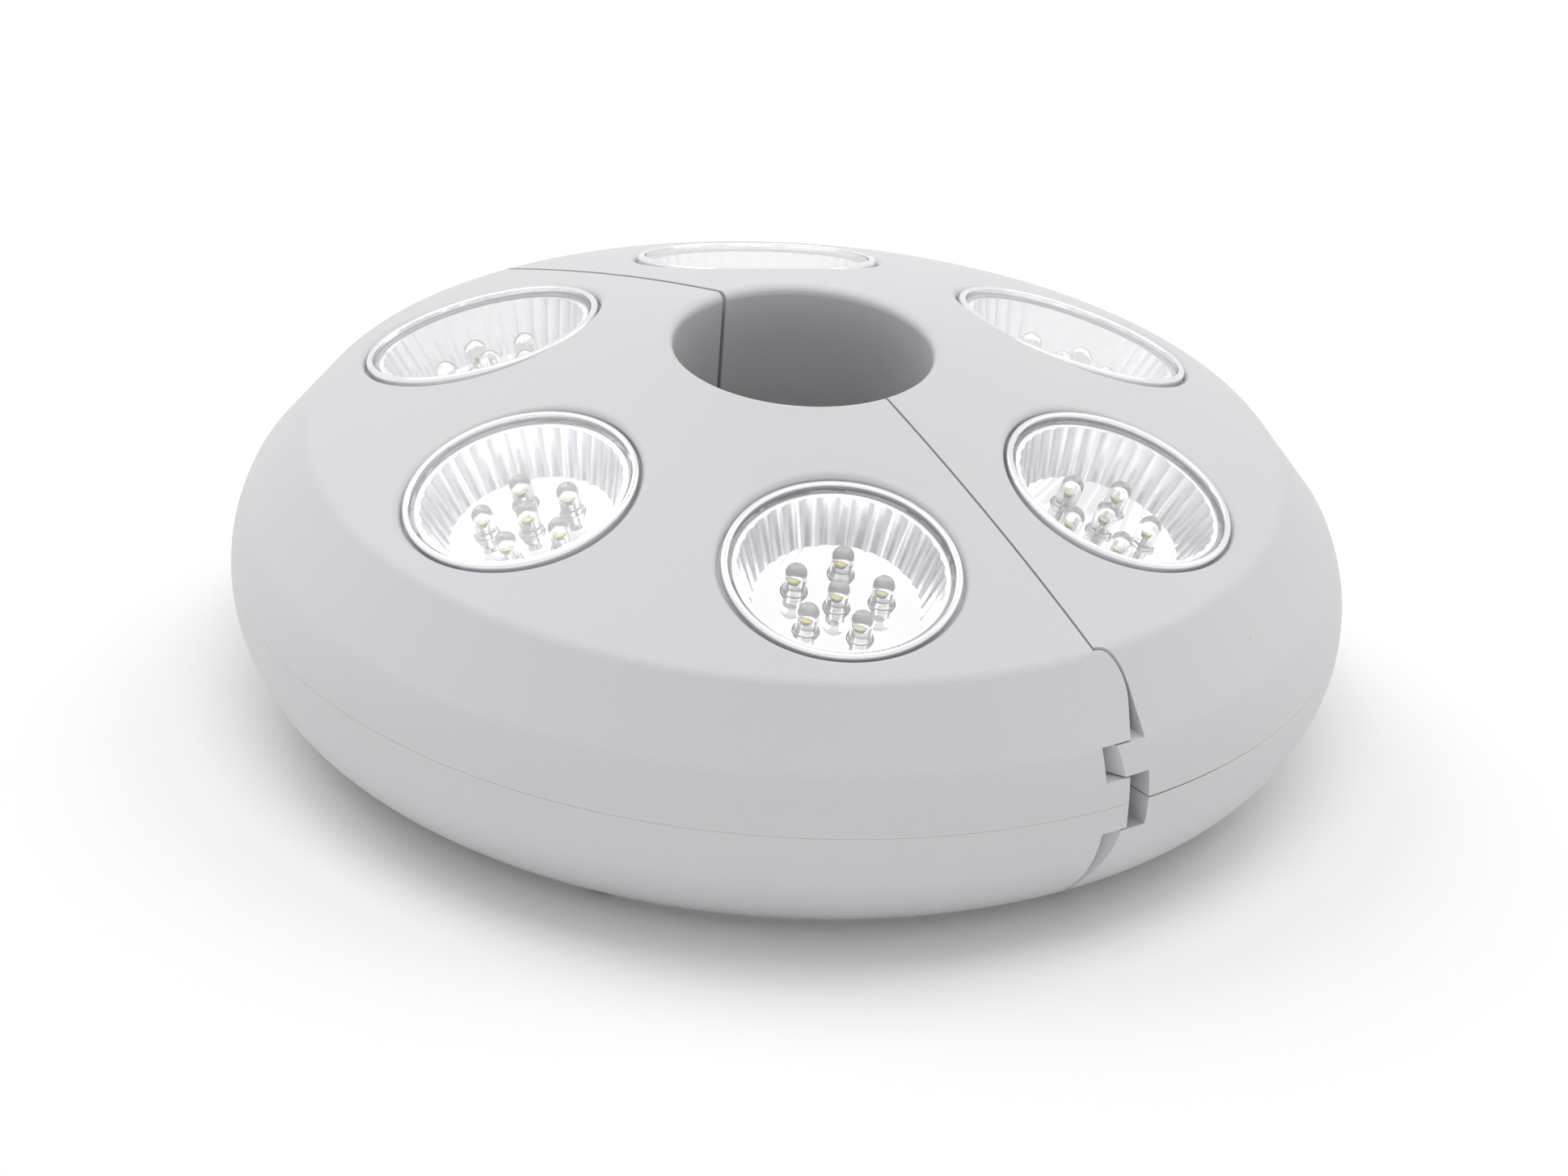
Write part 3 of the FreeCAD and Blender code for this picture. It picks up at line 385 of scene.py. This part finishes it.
# %% Clear epoxy
EPOXY_IOR = 1.53
EPOXY_CLEAR = 0.74          # share of the light that isn't scattered
EPOXY_ROUGHNESS = 0.12

material, tree = new_material("clear_epoxy")
surface = add_node(tree, "BsdfPrincipled", {"Base Color": linear("#FFFFFF"),
                                            "Roughness": EPOXY_ROUGHNESS, "IOR": EPOXY_IOR,
                                            "Transmission Weight": EPOXY_CLEAR})
set_surface(tree, surface)
dress(material, *["leds_%d" % n for n in LAMPS])

# %% [markdown]
# ## Small parts
# What lies inside is seen only when a door is off or the halves stand open, but each has the finish
# of what it is: glass-epoxy board with its solder mask, polypropylene trays, zinc-plated screws,
# nickel-plated magnets, PVC leads and black epoxy chips.

# %% Plain finishes with a little unevenness
PLASTIC_GRAIN = 0.02 * MM   # depth of the grain of the trays and chips


def simple_finish(name, colour, shade, size, roughness, metallic=0.0, depth=0.0, **constants):
    """A material whose colour and gloss vary over features of one size."""
    material, tree = new_material(name)
    place = (add_node(tree, "TexCoord"), "Object")
    mottle = add_node(tree, "TexNoise", {"Vector": place, "Scale": scale_for(size), "Detail": 3.0})
    tone = add_node(tree, "Mix", {"Factor": mottle, "A": linear(colour), "B": linear(shade)},
                    data_type="RGBA")
    gloss = add_node(tree, "MapRange", {"Value": mottle, "To Min": roughness[0],
                                        "To Max": roughness[1]})
    inputs = {"Base Color": tone, "Roughness": gloss, "Metallic": metallic}
    if depth:
        inputs["Normal"] = add_node(tree, "Bump", {"Height": mottle, "Distance": depth})
    inputs.update({socket.replace("_", " "): value for socket, value in constants.items()})
    set_surface(tree, add_node(tree, "BsdfPrincipled", inputs))
    return material


board = simple_finish("white_solder_mask", "#E4E7E2", "#D9DDD8", 2 * MM, (0.3, 0.45))
tray_plastic = simple_finish("black_polypropylene", "#26272A", "#1E1F21", 0.8 * MM, (0.45, 0.6),
                             depth=PLASTIC_GRAIN)
zinc = simple_finish("zinc_plated_steel", "#C9CACB", "#AEB0B2", 1.5 * MM, (0.25, 0.42),
                     metallic=1.0)
nickel = simple_finish("nickel_plating", "#D2CFC8", "#C4C1BA", 3 * MM, (0.12, 0.22), metallic=1.0)
pvc = simple_finish("red_pvc", "#A3201C", "#8E1A17", 4 * MM, (0.35, 0.5))
chip = simple_finish("black_moulding_compound", "#1D1E20", "#161719", 1 * MM, (0.5, 0.65),
                     depth=PLASTIC_GRAIN)

dress(board, *["led_board_%d" % n for n in LAMPS], "driver_board")
dress(tray_plastic, *["battery_tray_" + half for half in HALVES])
dress(zinc, *["case_screws_" + half for half in HALVES], "hinge_pin")
dress(nickel, *["magnets_" + half for half in HALVES])
dress(pvc, *["leads_" + half for half in HALVES])
dress(chip, "driver_components", "push_switch", "switch_plunger")

# %% [markdown]
# ## Making a piece
# Every new piece ends the same way: doubles merged, normals pointing out, edges sharper than 35
# degrees kept sharp, and its place in its mesh, because a piece's object stays at the origin. What
# occurs several times in a piece is made once each, moved to its place and added to the whole.

# %% Helpers for pieces
SHARP = math.radians(35)
SAME_POINT = 1e-6


def add_copy(whole, one):
    """Adds a finished bmesh to another."""
    mesh = bpy.data.meshes.new("one")
    one.to_mesh(mesh)
    one.free()
    whole.from_mesh(mesh)
    bpy.data.meshes.remove(mesh)


def finish_piece(name, bm, material, body=None):
    """Turns a bmesh into a named piece that rides on a body."""
    bmesh.ops.remove_doubles(bm, verts=bm.verts, dist=SAME_POINT)
    bmesh.ops.recalc_face_normals(bm, faces=bm.faces)
    mesh = bpy.data.meshes.new(name)
    bm.to_mesh(mesh)
    bm.free()
    mesh.shade_smooth()
    mesh.set_sharp_from_angle(angle=SHARP)
    mesh.materials.append(material)
    piece = bpy.data.objects.new(name, mesh)
    bpy.context.scene.collection.objects.link(piece)
    if body:
        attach(piece, body)
    print(name, len(mesh.polygons), "faces")
    return piece


print("edges over", round(math.degrees(SHARP)), "degrees stay sharp")

# %% [markdown]
# ## Where the lamps are
# The lamps stand on a circle round the pole and lean outwards. What belongs to a lamp is modelled
# upright about its own axis, and one matrix, found from the CAD box of its cover, moves it there.

# %% Frames of the lamps
LAMP_TILT = math.radians(19.554)
LENS_MIDDLE = -0.1 * MM     # of the lens above the bezel's plane
LAST_LEFT_LAMP = 3


def lamp_matrix(number):
    """Lamp frame: Z out of the lamp, Y uphill towards the pole, origin on the bezel's plane."""
    low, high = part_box("lens_%d" % number)
    middle = (low + high) / 2
    azimuth = math.atan2(middle.x, -middle.y)
    turn = Matrix.Rotation(azimuth, 4, "Z") @ Matrix.Rotation(LAMP_TILT, 4, "X")
    return Matrix.Translation(middle) @ turn @ Matrix.Translation((0, 0, -LENS_MIDDLE))


def lamp_body(number):
    """The half that carries a lamp."""
    return "left_half" if number <= LAST_LEFT_LAMP else "right_half"


print("lamp 1 at", [round(x / MM, 2) for x in lamp_matrix(1).translation])

# %% [markdown]
# ## Grey rings under the covers, painted shade
# A cover is pressed into its bezel on to a thin flat grey ring. Seen through the clear disc the ring
# draws a grey band between the bright bezel and the white flange of the reflector, painted shade of
# the bezel's inner step: broad on the far side of the lamp, and hidden behind the ring on the near
# side. Its section is spun round the lamp's axis.

# %% Grey rings of painted shade
SHADE_RING_INNER = 24.35 * MM
SHADE_RING_OUTER = 25.35 * MM
SHADE_RING_LOW = -0.9 * MM
SHADE_RING_HIGH = -0.6 * MM
SHADE_RING_ROUNDING = 0.08 * MM

# Painted shade: this grey stands in for the shade inside the bezel's inner step.
shade_ring_grey = simple_finish("grey_painted_shade", "#B2B2B6", "#A9A9AD", 1.5 * MM, (0.4, 0.55))


def ring(bm, inner, outer, low, high, matrix, rounding, steps=96):
    """A ring of square section with its upper edges broken, about the Z of a frame."""
    corners = [(inner, low), (outer, low), (outer, high - rounding), (outer - rounding, high),
               (inner + rounding, high), (inner, high - rounding)]
    section = bm.faces.new([bm.verts.new((radius, 0, height)) for radius, height in corners])
    bmesh.ops.spin(bm, geom=[section], cent=(0, 0, 0), axis=(0, 0, 1), dvec=(0, 0, 0),
                   angle=math.tau, steps=steps, use_merge=True)
    bmesh.ops.transform(bm, matrix=matrix, verts=bm.verts[:])


for number in LAMPS:
    bm = bmesh.new()
    ring(bm, SHADE_RING_INNER, SHADE_RING_OUTER, SHADE_RING_LOW, SHADE_RING_HIGH, lamp_matrix(number), SHADE_RING_ROUNDING)
    finish_piece("cover_shade_ring_%d" % number, bm, shade_ring_grey, lamp_body(number))

# %% [markdown]
# ## Inside the LEDs
# A clear LED holds two flat legs of silvered steel. The wider one ends in an anvil with a small cup,
# and in the cup lies the chip under a drop of yellow phosphor, which is what makes the light white.
# Through the dome the yellow drop looks almost as wide as the LED. Under each LED lies a washer of
# white nylon, which keeps it at its height on the board and shows pale through the clear body.

# %% Places and finishes of the LEDs
LED_FOOT = -12.4 * MM
LED_CIRCLE = 10.3 * MM
LEDS_ROUND = 5
LED_FIRST_ANGLE = math.radians(79)

silver = simple_finish("silvered_steel", "#D8D8D6", "#C2C2BF", 0.8 * MM, (0.2, 0.3), metallic=1.0)
nylon = simple_finish("white_nylon", "#F4F4F0", "#ECECE8", 1 * MM, (0.4, 0.5))
phosphor_yellow = simple_finish("yellow_phosphor", "#FFF6A6", "#FDF09A", 0.5 * MM, (0.5, 0.6))


def led_matrices(number):
    """Foot of each LED of a lamp: one in the middle and five round it."""
    spots = [Vector((0, 0, LED_FOOT))]
    for index in range(LEDS_ROUND):
        angle = LED_FIRST_ANGLE + index * math.tau / LEDS_ROUND
        spots.append(Vector((LED_CIRCLE * math.cos(angle), LED_CIRCLE * math.sin(angle), LED_FOOT)))
    return [lamp_matrix(number) @ Matrix.Translation(spot) for spot in spots]


print("a lamp holds", len(led_matrices(1)), "LEDs")

# %% [markdown]
# The legs are bevelled blocks. The cup is a cone that widens upwards: its top face is inset, and the
# inner face is let down to make the hollow. The drop is a sphere, flattened so that it only bulges.

# %% Legs, cup and phosphor
LEGS = (                    # place across, width, foot and top of each leg
    (-1.2 * MM, 0.9 * MM, 0.3 * MM, 3.6 * MM),
    (1.2 * MM, 0.7 * MM, 0.3 * MM, 4.4 * MM),
)
LEG_THICKNESS = 0.5 * MM
LEG_EDGE = 0.08 * MM
CUP_PLACE = -0.25 * MM
CUP_FOOT_RADIUS = 0.6 * MM
CUP_RADIUS = 0.95 * MM
CUP_HEIGHT = 4.6 * MM       # of its rim
CUP_LENGTH = 1.2 * MM
CUP_WALL = 0.15 * MM
CUP_HOLLOW = 0.35 * MM
DROP_RADIUS = 0.8 * MM
DROP_FLATNESS = 0.45
DROP_SINK = 0.1 * MM


def plate_leg(bm, matrix, across, width, low, high):
    """A flat leg with its edges broken."""
    place = matrix @ Matrix.Translation((across, 0, (low + high) / 2))
    size = Matrix.Diagonal((width, LEG_THICKNESS, high - low, 1))
    made = bmesh.ops.create_cube(bm, size=1.0, matrix=place @ size)
    edges = {edge for vertex in made["verts"] for edge in vertex.link_edges}
    bmesh.ops.bevel(bm, geom=list(edges), offset=LEG_EDGE, segments=1, profile=0.5,
                    affect="EDGES", material=-1)


def lead_frame(bm, matrix):
    """The two legs of one LED, with the cup on the wider one."""
    for leg in LEGS:
        plate_leg(bm, matrix, *leg)
    middle = matrix @ Matrix.Translation((CUP_PLACE, 0, CUP_HEIGHT - CUP_LENGTH / 2))
    made = bmesh.ops.create_cone(bm, cap_ends=True, segments=12, radius1=CUP_FOOT_RADIUS,
                                 radius2=CUP_RADIUS, depth=CUP_LENGTH, matrix=middle)
    top = max({face for vertex in made["verts"] for face in vertex.link_faces},
              key=lambda face: (matrix.inverted() @ face.calc_center_median()).z)
    bmesh.ops.inset_individual(bm, faces=[top], thickness=CUP_WALL)
    down = matrix.to_3x3() @ Vector((0, 0, -CUP_HOLLOW))
    bmesh.ops.translate(bm, verts=top.verts, vec=down)


def phosphor_drop(bm, matrix):
    """A low dome of phosphor that fills the cup."""
    place = matrix @ Matrix.Translation((CUP_PLACE, 0, CUP_HEIGHT - DROP_SINK))
    flat = Matrix.Diagonal((1, 1, DROP_FLATNESS, 1))
    bmesh.ops.create_uvsphere(bm, u_segments=12, v_segments=8, radius=DROP_RADIUS,
                              matrix=place @ flat)


print("the cup's rim is", round(CUP_HEIGHT / MM, 1), "mm above the foot of the LED")

# %% [markdown]
# The six LEDs of a lamp share one piece for each material: frames, drops of phosphor, and spacers.

# %% Fill the LEDs
SPACER_INNER = 0.3 * MM
SPACER_OUTER = 2.9 * MM
SPACER_LOW = -1.0 * MM
SPACER_HIGH = -0.05 * MM
SPACER_ROUNDING = 0.1 * MM

for number in LAMPS:
    frames, drops, washers = bmesh.new(), bmesh.new(), bmesh.new()
    for matrix in led_matrices(number):
        lead_frame(frames, matrix)
        phosphor_drop(drops, matrix)
        one = bmesh.new()
        ring(one, SPACER_INNER, SPACER_OUTER, SPACER_LOW, SPACER_HIGH, matrix, SPACER_ROUNDING,
             steps=24)
        add_copy(washers, one)
    finish_piece("led_frames_%d" % number, frames, silver, lamp_body(number))
    finish_piece("led_phosphor_%d" % number, drops, phosphor_yellow, lamp_body(number))
    finish_piece("led_spacers_%d" % number, washers, nylon, lamp_body(number))

# %% [markdown]
# ## Pole grips: ribbed rubber
# Soft ribs let one clamp hold poles that differ a little. A grip's whole section, with a flat back
# and ten ribs, is drawn at the clamp's radius and spun round the pole, but not across the seam;
# crests lie on the pole and grooves run between them.

# %% Rubber
GRIP_INNER = 25.4 * MM
GRIP_OUTER = 29.2 * MM
GRIP_LOW = 6.0 * MM
GRIP_HIGH = 56.0 * MM
GRIP_BARE = math.radians(12)        # from the seam to the end of a grip
RIB_COUNT = 10
RIB_DEPTH = 0.9 * MM
RIB_SHAPE = ((RIB_DEPTH, 0), (0, 0.25), (0, 0.6), (RIB_DEPTH, 0.85))    # depth, share of the pitch

rubber = simple_finish("black_rubber", "#2B2B2C", "#232324", 1.2 * MM, (0.65, 0.8),
                       depth=0.03 * MM)


def grip_outline():
    """Closed section of a grip: a flat back, and ribs that lean on the pole."""
    pitch = (GRIP_HIGH - GRIP_LOW) / RIB_COUNT
    points = [(GRIP_OUTER, GRIP_HIGH), (GRIP_OUTER, GRIP_LOW)]
    for index in range(RIB_COUNT):
        foot = GRIP_LOW + index * pitch
        points += [(GRIP_INNER + depth, foot + share * pitch) for depth, share in RIB_SHAPE]
    points.append((GRIP_INNER + RIB_DEPTH, GRIP_HIGH))
    return points


for half, side in HALVES.items():
    bm = bmesh.new()
    start = Matrix.Rotation(side * GRIP_BARE - math.pi / 2, 3, "Z")
    loop = [bm.verts.new(start @ Vector((radius, 0, height))) for radius, height in grip_outline()]
    section = bm.faces.new(loop)
    bmesh.ops.spin(bm, geom=[section], cent=(0, 0, 0), axis=(0, 0, 1), dvec=(0, 0, 0),
                   angle=side * (math.pi - 2 * GRIP_BARE), steps=48, use_merge=False)
    piece = finish_piece("ribbed_grip_" + half, bm, rubber, half + "_half")
    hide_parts("pole_grip_" + half)

# %% [markdown]
# ## Batteries
# An AA cell is a drawn steel can in a printed sleeve, with a raised button at one end. A cell is cut
# where its finish changes, into the sleeve, a copper-coloured band and the cap, and each is spun from
# its outline. The two cells of a half lie head to tail, so one matrix turns every second one round.

# %% Cells
CELL_LENGTH = 49.5 * MM             # without its button
CELL_BUTTON = 1.0 * MM
CELL_SPACING = 15.3 * MM
CELLS_FROM_POLE = 61.5 * MM
CELL_HEIGHT = 9.3 * MM
SPRING = 3.0 * MM                   # pressed length
PLATE = 0.5 * MM
BAY_HALF = (CELL_LENGTH + CELL_BUTTON + SPRING + 2 * PLATE) / 2

sleeve = simple_finish("printed_sleeve", "#2E5D50", "#28544A", 6 * MM, (0.22, 0.32),
                       Coat_Weight=0.3)
steel = simple_finish("tinned_steel", "#CDCDC9", "#BDBDB8", 2 * MM, (0.2, 0.32), metallic=1.0)
band = simple_finish("copper_band", "#C98A5A", "#BD7E4F", 6 * MM, (0.2, 0.3), metallic=1.0)

CELL_PARTS = (                      # name, finish, and outline as radius and height in mm
    ("sleeve", sleeve, [(0, 0.2), (6.4, 0.2), (6.9, 0.0), (7.15, 0.15), (7.25, 0.5),
                        (7.25, 38.0), (0, 38.0)]),
    ("band", band, [(0, 38.0), (7.25, 38.0), (7.25, 48.7), (7.1, 49.2), (6.7, 49.4),
                    (5.6, 49.4), (5.3, 49.1), (0, 49.1)]),
    ("cap", steel, [(0, 49.0), (5.2, 49.0), (5.0, 49.5), (3.1, 49.5), (2.75, 49.7),
                    (2.75, 50.3), (2.5, 50.5), (0, 50.5)]),
)


def cell_middle(side, index):
    """Middle of the bay of a cell of one half."""
    return Vector((side * CELLS_FROM_POLE + (index - 0.5) * CELL_SPACING, 0, CELL_HEIGHT))


def cell_way(index):
    """Which way a cell points along Y: the first to the far end, the second back."""
    return 1 if index == 0 else -1


def along_cell(side, index):
    """Matrix from a cell's own frame (Z along it, from its flat end) to its place."""
    way = cell_way(index)
    flat_end = Vector((0, -way * (BAY_HALF - PLATE - SPRING), 0))
    turn = Matrix.Rotation(-way * math.pi / 2, 4, "X")
    return Matrix.Translation(cell_middle(side, index) + flat_end) @ turn


def spun(bm, outline, matrix, steps=40):
    """Spins an open outline of (radius, height) points, with both ends on the axis, into a solid."""
    points = [bm.verts.new(Vector((radius, 0, height))) for radius, height in outline]
    edges = [bm.edges.new(pair) for pair in zip(points, points[1:])]
    bmesh.ops.spin(bm, geom=points + edges, cent=(0, 0, 0), axis=(0, 0, 1), dvec=(0, 0, 0),
                   angle=math.tau, steps=steps, use_merge=True)
    bmesh.ops.transform(bm, matrix=matrix, verts=bm.verts[:])


for half, side in HALVES.items():
    for part, finish, outline in CELL_PARTS:
        whole = bmesh.new()
        for index in (0, 1):
            one = bmesh.new()
            spun(one, [(r * MM, z * MM) for r, z in outline], along_cell(side, index))
            add_copy(whole, one)
        piece = finish_piece("cell_%s_%s" % (part, half), whole, finish, half + "_half")
        if part == "sleeve":
            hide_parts("battery_cells_" + half)

# %% [markdown]
# ## Springs and contacts
# Each cell's flat end leans on a cone-shaped spring and its button on a plate, both of nickelled
# steel. A spring is wound by spinning a small circle that rises a little at each step. That gives a
# straight coil, which is then drawn in towards its tip.

# %% Springs and plates
WIRE = 0.35 * MM                    # radius of the wire
COILS = 4
STEPS_PER_COIL = 20
SPRING_FOOT = 3.3 * MM
SPRING_TIP = 2.2 * MM
PLATE_WIDTH = 10 * MM
PLATE_HEIGHT = 12 * MM
PLATE_CORNER = 1.2 * MM

nickel_strip = simple_finish("nickelled_steel", "#C9C5BB", "#B5B1A8", 1.2 * MM, (0.18, 0.3),
                             metallic=1.0)


def contact_plate(bm, matrix):
    """A strip of sheet with rounded corners; its face is at Z = 0 and it lies below."""
    size = Matrix.Diagonal((PLATE_WIDTH, PLATE_HEIGHT, PLATE, 1))
    made = bmesh.ops.create_cube(bm, size=1.0, matrix=Matrix.Translation((0, 0, -PLATE / 2)) @ size)
    upright = [edge for edge in {e for v in made["verts"] for e in v.link_edges}
               if abs(edge.verts[0].co.z - edge.verts[1].co.z) > PLATE / 2]
    bmesh.ops.bevel(bm, geom=upright, offset=PLATE_CORNER, segments=4, profile=0.5,
                    affect="EDGES", material=-1)
    bmesh.ops.transform(bm, matrix=matrix, verts=bm.verts[:])


def coil_spring(bm, matrix):
    """A conical spring that stands on Z = 0."""
    upright = Matrix.Translation((SPRING_FOOT, 0, WIRE)) @ Matrix.Rotation(math.pi / 2, 4, "X")
    made = bmesh.ops.create_circle(bm, cap_ends=True, radius=WIRE, segments=8, matrix=upright)
    face = made["verts"][0].link_faces[0]
    steps = COILS * STEPS_PER_COIL
    rise = (SPRING - 2 * WIRE) / steps
    bmesh.ops.spin(bm, geom=[face], cent=(0, 0, 0), axis=(0, 0, 1), dvec=(0, 0, rise),
                   angle=COILS * math.tau, steps=steps, use_merge=False)
    for vertex in bm.verts:
        reach = math.hypot(vertex.co.x, vertex.co.y)
        share = (vertex.co.z - WIRE) / (SPRING - 2 * WIRE)
        shift = (SPRING_TIP - SPRING_FOOT) * max(0.0, min(1.0, share))
        vertex.co.x *= (reach + shift) / reach
        vertex.co.y *= (reach + shift) / reach
    bmesh.ops.transform(bm, matrix=matrix, verts=bm.verts[:])


for half, side in HALVES.items():
    whole = bmesh.new()
    for index in (0, 1):
        for end in (1, -1):
            turn = Matrix.Rotation(end * math.pi / 2, 4, "X")
            wall = cell_middle(side, index) + Vector((0, end * (BAY_HALF - PLATE), 0))
            face = Matrix.Translation(wall) @ turn
            plate = bmesh.new()
            contact_plate(plate, face)
            add_copy(whole, plate)
            if end == -cell_way(index):
                spring = bmesh.new()
                coil_spring(spring, face)
                add_copy(whole, spring)
    piece = finish_piece("contact_springs_" + half, whole, nickel_strip, half + "_half")
    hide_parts("battery_contacts_" + half)

# %% [markdown]
# ## The lead across the seam
# One lead feeds the swinging half. It crosses beside the hinge, where it bends as the halves part.
# Here it is a straight tube that rides on neither half. It is drawn out in many short stretches,
# because only a tube with rings along it can bend.

# %% Seam lead
LEAD_RADIUS = 1.1 * MM
STRETCHES = 24

low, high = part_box("seam_lead")
axis_y, axis_z = (low.y + high.y) / 2, (low.z + high.z) / 2
bm = bmesh.new()
turn = Matrix.Translation((low.x, axis_y, axis_z)) @ Matrix.Rotation(math.pi / 2, 4, "Y")
made = bmesh.ops.create_circle(bm, cap_ends=True, radius=LEAD_RADIUS, segments=16, matrix=turn)
face = made["verts"][0].link_faces[0]
for step in range(STRETCHES):
    grown = bmesh.ops.extrude_face_region(bm, geom=[face])
    face = next(item for item in grown["geom"] if isinstance(item, bmesh.types.BMFace))
    bmesh.ops.translate(bm, verts=face.verts, vec=((high.x - low.x) / STRETCHES, 0, 0))
piece = finish_piece("seam_lead_sleeve", bm, pvc)
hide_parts("seam_lead")
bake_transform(piece)
